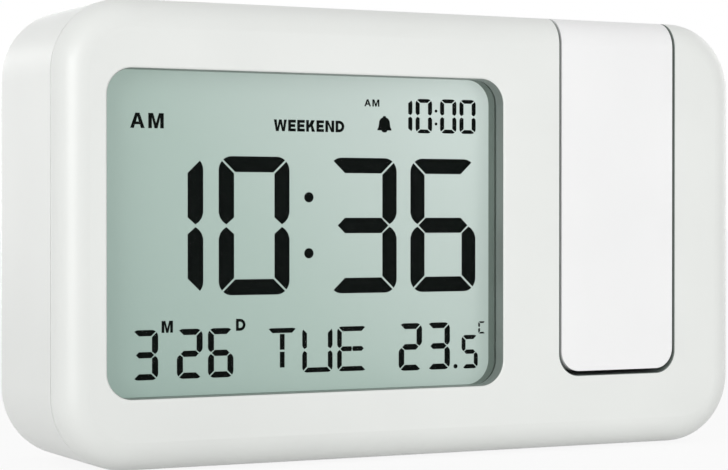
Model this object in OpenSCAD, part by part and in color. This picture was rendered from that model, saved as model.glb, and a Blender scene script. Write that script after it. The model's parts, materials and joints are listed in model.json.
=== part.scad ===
// Projection alarm clock: a display case with a projector arm folded flush into its front.
// Every module works in "case" coordinates: x from the middle, y back from the front face,
// z up from the underside of the case. placed() then sets the clock down on its feet.

/* [Case] */
// Width of the case
body_w = 145; // [141:1:165]
// Height of the case without its feet
body_h = 85; // [85:1:100]
// Depth of the case
body_d = 36.5; // [36.5:0.5:42]
// Corner radius seen from the front
corner_r = 13.6; // [12.6:0.2:15]
// Fillet round the front edge
front_fillet = 5.4; // [4.8:0.1:5.4]
// Fillet round the rear edge
rear_fillet = 2.2; // [1:0.1:2.3]
// Wall of the front bezel
bezel_t = 2.8; // [2.4:0.1:3]
// Wall of the rear case
case_t = 2.4; // [2.2:0.1:2.6]
// Distance of the parting line behind the front face
seam_d = 5.5; // [5.5:0.1:6]
// Width of the shadow groove along the parting line
seam_gap = 0.3; // [0.2:0.05:0.5]
// How far the rubber feet stand proud
foot_proud = 0.4; // [0.3:0.1:1]
// Radius of a rubber foot
foot_r = 4; // [3:0.25:5]

/* [Display] */
// Left side of the case to the window
window_left = 8.7; // [8.7:0.1:10]
// Window to the right side of the case
window_right = 55.3; // [55.3:0.1:60]
// Underside of the case to the window
window_bottom = 13.2; // [13.2:0.1:15]
// Window to the top of the case
window_top = 12.8; // [12.8:0.1:16]
// Corner radius of the window
window_r = 4.8; // [2:0.2:7]
// Edge rounding of the window
window_edge = 0.5; // [0.2:0.1:1]
// Distance of the liquid crystal panel behind the front face
lcd_d = 6.2; // [5.6:0.1:6.6]
// Thickness of one glass of the liquid crystal panel
glass_t = 0.9; // [0.7:0.1:1]
// Thickness of the light guide
guide_t = 3; // [2.4:0.1:3.4]
// Thickness of the window lens
lens_t = 1; // [0.8:0.1:1.2]
// Thickness of the circuit boards
board_t = 1.4; // [1.2:0.1:1.6]

/* [Projector arm] */
// Width of the arm
arm_w = 26.1; // [25.4:0.1:27]
// Thickness of the arm
arm_t = 16; // [15.8:0.1:16.4]
// Case side to arm
arm_right = 15.9; // [15.4:0.1:17]
// Case underside to the free end of the arm
arm_bottom = 15.3; // [14.4:0.1:16]
// Corner radius at the free end
arm_corner_r = 4; // [2:0.2:6]
// Wall of the arm shells
arm_wall = 1.5; // [1.3:0.1:1.6]
// Gap along the sides of the arm
arm_gap = 0.55; // [0.4:0.05:0.7]
// Gap under the free end of the arm
arm_end_gap = 0.9; // [0.6:0.1:1.2]
// Wall of the arm bay
bay_t = 1.6; // [1.4:0.1:1.8]
// Radius of the hinge tube
hinge_r = 2.4; // [2.2:0.1:2.5]
// Bore radius of the hinge tube
hinge_bore_r = 1.6; // [1.2:0.1:1.7]
// Optical axis behind the front face
optic_d = 9.3; // [9.2:0.1:9.4]
// Outer radius of the focus ring
ring_r = 7.4; // [7.2:0.1:7.4]
// Outer radius of the lens barrel
barrel_r = 4.7; // [4.4:0.1:4.7]
// Length of the lens barrel
barrel_l = 20; // [19:0.5:20.5]

/* [Controls] */
// Length of the snooze bar
snooze_w = 70; // [50:1:74]
// Width of the snooze bar
snooze_d = 14; // [10:0.5:15]
// How far the snooze bar stands proud
snooze_proud = 0.6; // [0.4:0.1:1]
// Number of rear keys
key_count = 5; // [5]
// Distance between rear keys
key_pitch = 11.5; // [10.8:0.1:12]
// Length of a rear key
key_w = 8; // [7:0.2:9]
// Height of a rear key
key_h = 4.6; // [4:0.2:5.4]
// Depth of the recess that the rear keys stand in
panel_recess = 1.2; // [1:0.1:1.4]

/* [Power] */
// Radius of a backup cell
cell_r = 7.1; // [6.8:0.05:7.15]
// Length of a backup cell without its nub
cell_l = 49.2; // [48:0.1:49.6]
// Thickness of the battery door
door_t = 2.2; // [2:0.1:2.3]

/* [Hidden] */
$fn = 48;

fit = 0.1;          // between pieces that are fastened together
run = 0.06;         // radial clearance of a shaft or slide
hole_gap = 0.3;     // round a key or bar in its hole

// Display
window_w = body_w - window_left - window_right;
window_h = body_h - window_bottom - window_top;
window_x = -body_w / 2 + window_left + window_w / 2;
window_z = window_bottom + window_h / 2;
frame_lap = 3;      // display frame beyond the window on each side
frame_w = window_w + 2 * frame_lap;
frame_h = window_h + 2 * frame_lap;
pocket_w = frame_w - 3;
pocket_h = frame_h - 3;
ledge_h = 3;        // contact ledge of the panel, top and bottom
guide_d = lcd_d + 2 * glass_t + 0.2;
board_d = guide_d + guide_t + 0.3;
ear_r = 2;
ear_z = [window_z - frame_h / 2 - 2.1, window_z + frame_h / 2 + 2.1];
ear_in = [23.5, 16.5];   // window side to the ear screws
ear_x = [window_x - window_w / 2 + ear_in[0], window_x + window_w / 2 - ear_in[1]];
ear_d = bezel_t + 4;
board_head_t = 0.7;     // low screw heads, clear of the battery compartment
board_in = 7.7;          // window side to the left edge of the board
board_left = window_x - window_w / 2 + board_in;
board_right = window_x + frame_w / 2;
board_low = ear_z[0] - ear_r;
board_high = ear_z[1] + ear_r;

// Arm
arm_x = body_w / 2 - arm_right - arm_w / 2;
pivot_d = arm_t / 2;
pivot_z = body_h - arm_t / 2;
sweep_r = (pivot_d - front_fillet) * sqrt(2) + front_fillet;
bay_d = pivot_d + sweep_r + 0.4;
bay_w = arm_w + 2 * arm_gap;
bay_bottom = arm_bottom - arm_end_gap;
bay_top = body_h - case_t - fit;
bush_r = hinge_r + 0.8;
bush_l = 3.2;
bay_boss_r = 4.8;
ring_z = arm_bottom + 10.7;
ring_h = 6;
ring_slot = 0.4;
ring_window = sqrt(pow(ring_r, 2) - pow(arm_t - arm_wall - optic_d, 2)) + 0.9;
barrel_z = arm_bottom + 3.3;
housing_z = arm_bottom + 6.5;
housing_front = 2.6;
housing_back = 14.3;
housing_half = 9.8;
bore_top = barrel_z + barrel_l + 2.4;
plcd_z = bore_top + 2;
condenser_z = plcd_z + 4;
led_z = condenser_z + 7.4;
housing_top = led_z + 5.2;
light_r = 3.9;
led_r = 2.5;
arm_screw_x = 9.2;
arm_screw_z = [arm_bottom + 3.7, housing_top + 3.2];

// Case screws: x, z
screw_z0 = 6.5;
screw_at = [[-body_w / 2 + 12.5, screw_z0], [-body_w / 2 + 12.5, body_h - screw_z0],
            [body_w / 2 - 7.5, 10], [body_w / 2 - 7.5, body_h - 19]];
screw_boss_r = 2.6;
screw_boss_d = 15;
screw_seat_d = 20;
screw_r = 1.3;

// Battery compartment
comp_x = -body_w / 2 + 48.8;
comp_w = 56.6;
comp_h = 4 * cell_r + 2;
comp_z = 8.2 + comp_h / 2;
comp_wall = 1.4;
comp_d = body_d - case_t - 2 * cell_r - 1.2;
cell_d = comp_d + cell_r + 0.4;
door_w = comp_w + 3;
door_h = comp_h + 3;
door_gap = 0.25;
door_d = body_d - door_t;
door_pivot_d = door_d + 0.8;
door_edge_r = door_t - 0.8;
door_pivot_z = comp_z - door_h / 2 + door_edge_r;
door_pin_r = 0.8;

// Keys, midway between the cells and the snooze bar
snooze_travel = 0.8;
snooze_flange = 1;
snooze_low = body_h - case_t - hole_gap - 1.2;
key_z = (comp_z + comp_h / 2 + snooze_low) / 2 - 0.25;
key_x = [for (i = [0:key_count - 1]) comp_x - 2 + (i - (key_count - 1) / 2) * key_pitch];
key_travel = 0.5;
panel_w = key_count * key_pitch + 3;
panel_h = 21;
panel_z = key_z - 5.4;
panel_d = body_d - panel_recess;
panel_in = panel_d - 2;
switch_h = 3.4;
plunger_h = 0.8;
key_flange_t = 0.8;
key_board_d = panel_in - hole_gap - key_flange_t - key_travel - fit - plunger_h - switch_h - board_t;
key_board_h = 20;
slide_z = key_z - 10.5;
slide_travel = 2;
slide_cap = [3.6, 3];

// Snooze bar
snooze_x = window_x + 6;
snooze_d0 = 14;
shelf_z = snooze_low - snooze_travel - 9.3;
shelf_x = snooze_x;
shelf_w = 16;

// Power inlet
inlet_x = arm_x;
inlet_z = 21;
inlet_w = 7.6;
inlet_h = 2.9;
power_z = inlet_z - inlet_h / 2 - board_t;

// ---- frames ----

// Case coordinates to the clock standing on its feet, centred
module placed() {
    translate([0, -body_d / 2, foot_proud]) children();
}

// A drawing in the plane of the front, with its height running backwards
module upright(x = 0, z = 0, d = 0) {
    translate([x, d, z]) mirror([0, 1, 0]) rotate([90, 0, 0]) children();
}

// A drawing of depth and height, with its thickness running to the right
module across(x) {
    translate([x, 0, 0]) rotate([90, 0, 90]) children();
}

// A cylinder running backwards from depth d
module post(x, z, d, r, l) {
    upright(x, z, d) cylinder(r = r, h = l);
}

// A cylinder running right from x
module axle(x, d, z, r, l) {
    translate([x, d, z]) rotate([0, 90, 0]) cylinder(r = r, h = l);
}

// A block from its low corner to its high corner
module block(low, high) {
    translate(low) cube([high[0] - low[0], high[1] - low[1], high[2] - low[2]]);
}

module rounded_rect(w, h, r) {
    square([w - 2 * r, h], center = true);
    square([w, h - 2 * r], center = true);
    for (x = [-1, 1], y = [-1, 1]) translate([x * (w / 2 - r), y * (h / 2 - r)]) circle(r);
}

module slab(w, h, r, t) {
    linear_extrude(t) rounded_rect(w, h, r);
}

// Sweeps a profile round a rounded rectangle; the profile's x is the distance out from the
// centre of the corners and its y is the depth
module rim(w, h, r) {
    for (a = [0:90:270]) {
        even = (a % 180) == 0;
        along = even ? h : w;
        out = even ? w : h;
        rotate(a) translate([out / 2 - r, along / 2 - r, 0]) {
            rotate_extrude(angle = 90) children();
            rotate([90, 0, 0]) linear_extrude(along - 2 * r) children();
        }
    }
}

// ---- case ----

module bezel_profile() {
    square([corner_r - front_fillet, bezel_t]);
    intersection() {
        translate([corner_r - front_fillet, front_fillet]) difference() {
            circle(front_fillet);
            circle(front_fillet - bezel_t);
        }
        translate([corner_r - front_fillet, 0]) square([front_fillet, front_fillet]);
    }
    translate([corner_r - bezel_t, front_fillet]) square([bezel_t, seam_d - front_fillet]);
}

module arm_opening() {
    low = bay_bottom;
    r = arm_corner_r + arm_end_gap / 2;
    upright(arm_x, (low + body_h + 20) / 2, -1) slab(bay_w, body_h + 20 - low, r, bay_d + 1);
}

module window_round() {
    // the rounding round the window's front edge, as a cutter
    rim(window_w + 2 * window_edge, window_h + 2 * window_edge, window_r + window_edge) {
        difference() {
            translate([window_r - 1, -1]) square([window_edge + 1, window_edge + 1]);
            translate([window_r + window_edge, window_edge]) circle(window_edge);
        }
    }
}

module front_bezel() {
    color("white") placed() difference() {
        union() {
            upright(0, body_h / 2) {
                rim(body_w, body_h, corner_r) bezel_profile();
                translate([-body_w / 2 + corner_r, -body_h / 2 + corner_r, 0])
                    cube([body_w - 2 * corner_r, body_h - 2 * corner_r, bezel_t]);
            }
            for (s = screw_at) post(s[0], s[1], bezel_t - 1, screw_boss_r, screw_boss_d - bezel_t + 1);
            for (x = ear_x, z = ear_z) post(x, z, bezel_t - 1, ear_r, ear_d - bezel_t + 1);
            for (e = bay_ears) post(e[0], e[1], bezel_t - 1, ear_r, bay_ear_d - bezel_t + 1);
        }
        upright(window_x, window_z, -1) slab(window_w, window_h, window_r, bezel_t + 2);
        upright(window_x, window_z, 0) window_round();
        arm_opening();
        // rebate that the lip of the rear case slides into
        upright(0, body_h / 2, seam_d - 1.7)
            rim(body_w, body_h, corner_r) translate([corner_r - bezel_t - 1, 0]) square([bezel_t - 0.2, 3]);
        for (s = screw_at) post(s[0], s[1], screw_boss_d - 8, screw_r + 0.02, 9);
        for (x = ear_x, z = ear_z) post(x, z, ear_d - 2.6, 0.92, 4);
        for (e = bay_ears) post(e[0], e[1], bay_ear_d - 2.2, 0.92, 4);
    }
}

case_len = body_d - seam_d - seam_gap;

module case_profile() {
    difference() {
        union() {
            square([corner_r - rear_fillet, case_len]);
            square([corner_r, case_len - rear_fillet]);
            translate([corner_r - rear_fillet, case_len - rear_fillet]) circle(rear_fillet);
        }
        translate([-1, -1]) square([corner_r - case_t + 1, case_len - case_t + 1]);
    }
    // lip inside the bezel
    translate([corner_r - case_t, -1.7]) square([case_t - 1.3, 1.8]);
}

module compartment_outside() {
    upright(comp_x, comp_z, comp_d - comp_wall)
        slab(comp_w + 2 * comp_wall, comp_h + 2 * comp_wall, 1.5, body_d - case_t - comp_d + comp_wall + 0.1);
    upright(comp_x, comp_z, door_d - 2.1) slab(door_w + 3.4, door_h + 3.4, 2, 2.2);
}

module case_boss(s) {
    post(s[0], s[1], screw_boss_d + fit, 4, body_d - 1 - screw_boss_d - fit);
}

module vent_slots(x, z, w, count) {
    for (i = [0:count - 1]) {
        translate([x - w / 2, body_d - case_t - 1, z + (i - (count - 1) / 2) * 2.8 - 0.6])
            cube([w, case_t + 2, 1.2]);
    }
}

module rear_case() {
    color("white") placed() difference() {
        union() {
            upright(0, body_h / 2, seam_d + seam_gap) {
                rim(body_w, body_h, corner_r) case_profile();
                translate([-body_w / 2 + corner_r, -body_h / 2 + corner_r, case_len - case_t])
                    cube([body_w - 2 * corner_r, body_h - 2 * corner_r, case_t]);
            }
            compartment_outside();
            for (s = screw_at) case_boss(s);
            // thicker wall behind the recessed key panel, and its board posts
            upright(comp_x - 2, panel_z, panel_in) slab(panel_w + 4, panel_h + 3, 2.5, body_d - case_t - panel_in + 1);
            for (x = key_post_x) post(x, key_board_z, key_board_d + board_t, 2, panel_in - key_board_d - board_t + 0.5);
            // shelves for the snooze board and the power board
            block([shelf_x - shelf_w / 2, snooze_d0 + 2, shelf_z - 1.6],
                  [shelf_x + shelf_w / 2, body_d - case_t + 0.5, shelf_z]);
            block([inlet_x - 9, bay_d + bay_t + 4, power_z - 1.6], [inlet_x + 9, body_d - case_t + 0.5, power_z]);
            for (x = [-9, 7.6]) block([inlet_x + x, body_d - case_t - 9, power_z - 6],
                                      [inlet_x + x + 1.4, body_d - case_t + 0.5, power_z - 1]);
            // ring that holds the buzzer
            post(buzzer_x, buzzer_z, body_d - case_t - 2.6, buzzer_r + 1.4, 3);
        }
        arm_opening();
        // battery pocket, door rebate and hinge groove
        upright(comp_x, comp_z, comp_d) slab(comp_w, comp_h, 0.8, body_d);
        upright(comp_x, comp_z, door_d - 0.05) slab(door_w + 2 * door_gap, door_h + 2 * door_gap, 1, door_t + 1);
        axle(comp_x - door_w / 2 - door_gap, door_pivot_d, door_pivot_z, door_edge_r + door_gap, door_w + 2 * door_gap);
        axle(comp_x - door_w / 2 - 1.6, door_pivot_d, door_pivot_z, door_pin_r + run, door_w + 3.2);
        // finger scoop above the door
        translate([comp_x, body_d + 3.4, comp_z + door_h / 2 + 0.3]) sphere(4.6);
        for (s = screw_at) {
            post(s[0], s[1], screw_boss_d - 1, screw_r + 0.3, body_d);
            post(s[0], s[1], screw_seat_d, 2.9, body_d);
        }
        // key panel, keys and slide switch
        upright(comp_x - 2, panel_z, panel_d) slab(panel_w, panel_h, 2, 3);
        for (x = key_x) upright(x, key_z, panel_in - 1) slab(key_w + 2 * hole_gap, key_h + 2 * hole_gap, key_h / 2, 6);
        upright(comp_x - 2, slide_z, panel_in - 1)
            slab(slide_cap[0] + 2 * slide_travel + 2 * hole_gap, slide_cap[1] + 2 * hole_gap, 0.6, 6);
        // snooze bar
        translate([snooze_x, snooze_d0 + snooze_d / 2, body_h - case_t - 2])
            slab(snooze_w + 2 * hole_gap, snooze_d + 2 * hole_gap, 3, 8);
        // power inlet, sound and air slots
        upright(inlet_x, inlet_z, body_d - case_t - 1) slab(inlet_w + 0.8, inlet_h + 0.8, 1, 6);
        post(buzzer_x, buzzer_z, body_d - case_t - 3, buzzer_r + fit, 3);
        vent_slots(buzzer_x, buzzer_z, 12, 5);
        vent_slots(sensor_x, sensor_z, 7, 3);
        // seats of the feet
        for (x = foot_x, d = foot_d) translate([x, d, -1]) cylinder(r = foot_r + fit, h = 1.8);
    }
}

foot_x = [-body_w / 2 + 17, body_w / 2 - 17];
foot_d = [foot_r + 8.5, body_d - foot_r - 3];

module rubber_feet() {
    color("dimgray") placed()
        for (x = foot_x, d = foot_d) translate([x, d, -foot_proud]) cylinder(r = foot_r, h = 0.8 + foot_proud);
}

module case_screws() {
    color("silver") placed() for (s = screw_at) {
        post(s[0], s[1], screw_boss_d - 7, screw_r, screw_seat_d - screw_boss_d + 7);
        difference() {
            post(s[0], s[1], screw_seat_d, 2.7, 1.8);
            post(s[0], s[1], screw_seat_d + 0.8, 1.2, 3);
        }
    }
}

// ---- display ----

module window_lens() {
    color([0.9, 0.95, 0.95, 0.4]) placed()
        upright(window_x, window_z, bezel_t + 0.05) slab(pocket_w, pocket_h, 2, lens_t);
}

module lcd_frame() {
    color([0.3, 0.33, 0.31]) placed() difference() {
        union() {
            upright(window_x, window_z, bezel_t + 0.05) slab(frame_w, frame_h, 3, board_d - bezel_t - 0.1);
            for (x = ear_x, z = ear_z) post(x, z, ear_d + 0.05, ear_r, board_d - ear_d - 0.1);
            for (x = ear_x, s = [-1, 1])
                translate([x - ear_r, ear_d + 0.05, window_z + s * (frame_h / 2 + 0.6) - 1])
                    cube([2 * ear_r, board_d - ear_d - 0.1, 2]);
        }
        upright(window_x, window_z, 0) slab(window_w + 0.4, window_h + 0.4, window_r, body_d);
        upright(window_x, window_z, 0) slab(pocket_w + 2 * fit, pocket_h + 2 * fit, 2, bezel_t + lens_t + 0.15);
        upright(window_x, window_z, lcd_d - 0.05) slab(pocket_w + 2 * fit, pocket_h + 2 * fit, 0.5, body_d);
        for (x = ear_x, z = ear_z) post(x, z, 0, 0.96, body_d);
    }
}

module lcd_panel() {
    color([0.7, 0.78, 0.74]) placed() {
        upright(window_x, window_z, lcd_d) slab(pocket_w, pocket_h, 0.5, glass_t);
        upright(window_x, window_z, lcd_d + glass_t) slab(pocket_w, pocket_h - 2 * ledge_h, 0.5, glass_t);
    }
}

module light_guide() {
    color([0.85, 0.95, 0.9]) placed() upright(window_x, window_z, guide_d)
        slab(pocket_w - 4, pocket_h - 2 * ledge_h, 0.5, guide_t);
}

module backlight_strip() {
    side = window_x + pocket_w / 2 - 1.7;
    strip_h = window_h - 15;
    pitch = strip_h / 2 - 7;
    color("ivory") placed() {
        block([side, guide_d, window_z - strip_h / 2], [side + 0.8, guide_d + guide_t, window_z + strip_h / 2]);
        for (z = [-pitch, 0, pitch])
            block([side - 0.2, guide_d + 0.5, window_z + z - 1.5], [side, guide_d + guide_t - 0.5, window_z + z + 1.5]);
    }
}

module contact_strips() {
    color("dimgray") placed() for (s = [-1, 1])
        translate([board_left + 3, lcd_d + glass_t, window_z + s * (pocket_h / 2 - 1.4) - 1])
            cube([board_right - board_left - 8, board_d - lcd_d - glass_t, 2]);
}

module main_board() {
    color("darkgreen") placed() difference() {
        block([board_left, board_d, board_low], [board_right, board_d + board_t, board_high]);
        for (x = ear_x, z = ear_z) post(x, z, 0, 1.1, body_d);
    }
}

module clock_chip() {
    // a resin drop over the bonded chip
    color([0.1, 0.1, 0.1]) placed() upright(window_x - 8, window_z + 8, board_d + board_t) {
        cylinder(r1 = 6.5, r2 = 5.6, h = 1);
        translate([0, 0, 1]) cylinder(r1 = 5.6, r2 = 3, h = 0.8);
    }
}

module crystal() {
    color("silver") placed() {
        axle(window_x + 6, board_d + board_t + 1.05, window_z + 2, 1, 6);
        for (z = [-0.4, 0.4]) axle(window_x + 4.6, board_d + board_t + 0.6, window_z + 2 + z, 0.2, 1.6);
    }
}

module board_screws() {
    color("silver") placed() for (x = ear_x, z = ear_z) {
        post(x, z, ear_d - 2.4, 0.9, board_d + board_t - ear_d + 2.4);
        post(x, z, board_d + board_t, 1.8, board_head_t);
    }
}

// ---- rear boards and controls ----

key_board_z = key_z - 5.2;
key_post_x = [comp_x - 2 - panel_w / 2 - 0.4, comp_x - 2 + panel_w / 2 + 0.4];

module key_board() {
    color("darkgreen") placed() difference() {
        block([key_post_x[0] - 2.2, key_board_d, key_board_z - key_board_h / 2],
              [key_post_x[1] + 2.2, key_board_d + board_t, key_board_z + key_board_h / 2]);
        for (x = key_post_x) post(x, key_board_z, 0, 1.1, body_d);
    }
}

module key_board_screws() {
    color("silver") placed() for (x = key_post_x) post(x, key_board_z, key_board_d - 1.4, 1.9, 1.4);
}

module tact_switch() {
    translate([-3, -3, 0]) cube([6, 6, switch_h]);
    cylinder(r = 1.7, h = switch_h + plunger_h);
}

module key_switches() {
    color("silver") placed() for (x = key_x) upright(x, key_z, key_board_d + board_t) tact_switch();
}

module rear_key(i) {
    x = key_x[i];
    flange_d = panel_in - hole_gap - key_flange_t;
    color("gainsboro") placed() {
        upright(x, key_z, flange_d + 0.4) slab(key_w, key_h, key_h / 2 - 0.01, body_d - 0.2 - flange_d - 0.4);
        upright(x, key_z, flange_d) slab(key_w + 2, key_h + 2, key_h / 2 + 0.99, key_flange_t);
    }
}

module key_1() rear_key(0);
module key_2() rear_key(1);
module key_3() rear_key(2);
module key_4() rear_key(3);
module key_5() rear_key(4);

module slide_switch_body() {
    color("silver") placed() difference() {
        block([comp_x - 7, key_board_d + board_t, slide_z - 2.2], [comp_x + 3, panel_in - 0.9, slide_z + 2.2]);
        block([comp_x - 6, panel_in - 2.6, slide_z - 1.2], [comp_x + 2, panel_in, slide_z + 1.2]);
    }
}

module slide_knob() {
    color([0.2, 0.2, 0.2]) placed() {
        block([comp_x - 3, panel_in - 2.3, slide_z - 0.9], [comp_x - 1, panel_d - 0.5, slide_z + 0.9]);
        block([comp_x - 2 - slide_cap[0] / 2, panel_d - 0.9, slide_z - slide_cap[1] / 2],
              [comp_x - 2 + slide_cap[0] / 2, body_d - 0.4, slide_z + slide_cap[1] / 2]);
    }
}

module snooze_bar() {
    color("white") placed() translate([snooze_x, snooze_d0 + snooze_d / 2, 0]) {
        translate([0, 0, snooze_low + 0.3]) slab(snooze_w, snooze_d, 2.8, body_h + snooze_proud - snooze_low - 0.3);
        translate([0, 0, snooze_low])
            slab(snooze_w + 2 * snooze_flange, snooze_d + 2 * snooze_flange - 1, 2.8, 1.2);
        translate([-1.5, -4, snooze_low - 1.8]) cube([3, 8, 2]);
    }
}

module snooze_board() {
    color("darkgreen") placed() block([shelf_x - shelf_w / 2 + 1, snooze_d0 + 2.5, shelf_z],
                                      [shelf_x + shelf_w / 2 - 1, snooze_d0 + 12, shelf_z + 1.2]);
}

module snooze_switch() {
    color("silver") placed() translate([shelf_x, snooze_d0 + snooze_d / 2, shelf_z + 1.2]) {
        translate([-3, -3, 0]) cube([6, 6, switch_h]);
        cylinder(r = 1.7, h = snooze_low - 1.8 - snooze_travel - 0.1 - shelf_z - 1.2);
    }
}

// ---- power, buzzer and sensor ----

buzzer_x = arm_x;
buzzer_z = 50;
buzzer_r = 8;
sensor_x = inlet_x + 6;
sensor_z = 35;

module buzzer() {
    color("black") placed() difference() {
        post(buzzer_x, buzzer_z, body_d - case_t - 6.4, buzzer_r, 6.2);
        post(buzzer_x, buzzer_z, body_d - case_t - 1.6, 2, 3);
    }
}

module temperature_sensor() {
    color([0.15, 0.15, 0.15]) placed() {
        translate([sensor_x, body_d - case_t - 2.4, sensor_z]) sphere(1.6);
        for (s = [-1, 1])
            translate([sensor_x + s * 0.7, body_d - case_t - 2.4, power_z + board_t])
                cylinder(r = 0.3, h = sensor_z - power_z - board_t);
    }
}

module power_board() {
    color("darkgreen") placed() block([inlet_x - 8, body_d - case_t - 9.5, power_z],
                                      [inlet_x + 8, body_d - case_t - 0.3, power_z + board_t]);
}

module power_inlet() {
    z = power_z + board_t;
    color("silver") placed() difference() {
        block([inlet_x - inlet_w / 2, body_d - case_t - 5.6, z], [inlet_x + inlet_w / 2, body_d - 0.6, z + inlet_h]);
        block([inlet_x - inlet_w / 2 + 0.4, body_d - case_t - 4.8, z + 0.4],
              [inlet_x + inlet_w / 2 - 0.4, body_d, z + inlet_h - 0.4]);
    }
}

module cell(x, z) {
    axle(x, cell_d, z, cell_r, cell_l);
    axle(x + cell_l - 0.1, cell_d, z, 2.6, 1.4);
}

cell_x0 = comp_x - comp_w / 2 + 5.1;
cell_zs = [comp_z - cell_r - 0.3, comp_z + cell_r + 0.3];

module backup_cells() {
    color("darkslateblue") placed() for (z = cell_zs) cell(cell_x0, z);
}

// A tube swept along points: rings joined into one closed skin
function ring_of(p, along, r, sides) =
    let (a = along / norm(along), u0 = cross(a, [0.13, 0.31, 0.94]), u = u0 / norm(u0), v = cross(a, u))
    [for (i = [0:sides - 1]) p + r * (cos(360 * i / sides) * u + sin(360 * i / sides) * v)];

module tube_along(path, r, sides) {
    n = len(path);
    rings = [for (i = [0:n - 1]) each ring_of(path[i], path[min(i + 1, n - 1)] - path[max(i - 1, 0)], r, sides)];
    sides_faces = [for (i = [0:n - 2], j = [0:sides - 1], k = [0, 1])
        let (a = i * sides + j, b = i * sides + (j + 1) % sides, c = b + sides, d = a + sides)
        k == 0 ? [a, c, b] : [a, d, c]];
    caps = [[for (j = [0:sides - 1]) j], [for (j = [sides - 1:-1:0]) (n - 1) * sides + j]];
    polyhedron(points = rings, faces = concat(sides_faces, caps));
}

module contact_springs() {
    turns = 4;
    steps = 12;
    back = comp_x - comp_w / 2 + 0.9;
    length = cell_x0 - back - 0.5;
    color("silver") placed() for (z = cell_zs) {
        block([back - 0.8, cell_d - 5, z - 5], [back - 0.3, cell_d + 5, z + 5]);
        tube_along([for (i = [0:turns * steps])
            let (t = i / (turns * steps), r = 4.2 - 1.6 * t, a = 360 * turns * t)
            [back + 0.1 + length * t, cell_d + r * cos(a), z + r * sin(a)]], 0.35, 6);
    }
}

module contact_plates() {
    right = cell_x0 + cell_l + 1.35;
    color("silver") placed() block([right, cell_d - 5, comp_z - cell_r - 5], [right + 0.5, cell_d + 5, comp_z + cell_r + 5]);
}

module battery_door() {
    color("white") placed() difference() {
        union() {
            upright(comp_x, comp_z + door_edge_r / 2, door_d) slab(door_w, door_h - door_edge_r, 0.8, door_t);
            block([comp_x - door_w / 2, door_d, door_pivot_z], [comp_x + door_w / 2, body_d, door_pivot_z + 3]);
            intersection() {
                axle(comp_x - door_w / 2, door_pivot_d, door_pivot_z, door_edge_r, door_w);
                block([comp_x - door_w, door_d, 0], [comp_x + door_w, body_d, body_h]);
            }
            axle(comp_x - door_w / 2 - 1.3, door_pivot_d, door_pivot_z, door_pin_r, door_w + 2.6);
        }
        // grip ribs and the two slits that free the latch tongue
        for (i = [0:3]) block([comp_x - 7, body_d - 0.5, comp_z + 8 - 2 * i], [comp_x + 7, body_d + 1, comp_z + 8.8 - 2 * i]);
        for (s = [-1, 1]) block([comp_x + s * 9 - 0.4, 0, comp_z + 5], [comp_x + s * 9 + 0.4, body_d + 1, body_h]);
    }
}

// ---- cables ----

module flat_cable() {
    x = comp_x + 24;
    z = key_board_z - key_board_h / 2 + 2;
    color("lightgray") placed() {
        block([x, board_d + board_t, z], [x + 8, key_board_d, z + 0.8]);
    }
}

lead_r = 0.9;
lead_z = pivot_z - 20;
lead_x = board_right - 1.4;

// A point on a smooth curve from a to d that leaves towards b and arrives from c
function curve(a, b, c, d, t) = pow(1 - t, 3) * a + 3 * pow(1 - t, 2) * t * b + 3 * (1 - t) * t * t * c + pow(t, 3) * d;

module case_lead() {
    plug_d = board_d + board_t + 1.5;
    start = [lead_x, plug_d, lead_z];
    end = [tube_left + 1.6, pivot_d, pivot_z];
    steps = 18;
    color("black") placed() {
        block([lead_x - 5, board_d + board_t, lead_z - 2.6], [lead_x, board_d + board_t + 3, lead_z + 2.6]);
        tube_along([for (i = [0:steps]) curve(start, start + [7, 0, 0], end - [8, 0, 0], end, i / steps)], lead_r, 8);
    }
}

// ---- arm bay ----

bay_side = bay_w / 2 + bay_t;
bay_ear_d = bezel_t + 3.2;
bay_ears = [[arm_x - bay_side - 2.2, window_z - 12], [arm_x - bay_side - 2.2, window_z + 16],
            [arm_x + bay_side + 2.2, window_z - 12], [arm_x + bay_side + 2.2, window_z + 10]];

module bay_side_profile() {
    // depth to the right, height up: stands clear of the bezel's inner fillet at the top
    square_low = body_h - front_fillet - 0.4;
    translate([bezel_t + 0.05, bay_bottom - bay_t])
        square([bay_d + bay_t - bezel_t - 0.05, square_low - bay_bottom + bay_t]);
    translate([front_fillet + 0.3, square_low - 1])
        square([bay_d + bay_t - front_fillet - 0.3, bay_top - square_low + 1]);
}

module arm_bay() {
    color([0.82, 0.84, 0.83]) placed() difference() {
        union() {
            across(arm_x - bay_side) linear_extrude(2 * bay_side) bay_side_profile();
            for (s = [-1, 1])
                axle(arm_x + s * (bay_side + bush_l - bay_t) - (s > 0 ? bush_l : 0), pivot_d, pivot_z, bay_boss_r, bush_l);
            for (e = bay_ears) {
                post(e[0], e[1], bay_ear_d + 0.05, ear_r, 3);
                block([min(e[0], e[0] + sign(arm_x - e[0]) * 3), bay_ear_d + 0.05, e[1] - ear_r],
                      [max(e[0], e[0] + sign(arm_x - e[0]) * 3), bay_ear_d + 3.05, e[1] + ear_r]);
            }
        }
        // the space that the arm folds into
        upright(arm_x, (bay_bottom + body_h + 20) / 2, -1)
            slab(bay_w, body_h + 20 - bay_bottom, arm_corner_r + arm_end_gap / 2, bay_d + 1);
        axle(arm_x - body_w, pivot_d, pivot_z, bush_r + 0.02, 2 * body_w);
        for (e = bay_ears) post(e[0], e[1], 0, 0.96, body_d);
    }
}

module bay_screws() {
    color("silver") placed() for (e = bay_ears) {
        post(e[0], e[1], bay_ear_d - 2, 0.9, 5.05);
        post(e[0], e[1], bay_ear_d + 3.05, 1.8, 1.3);
    }
}

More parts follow.
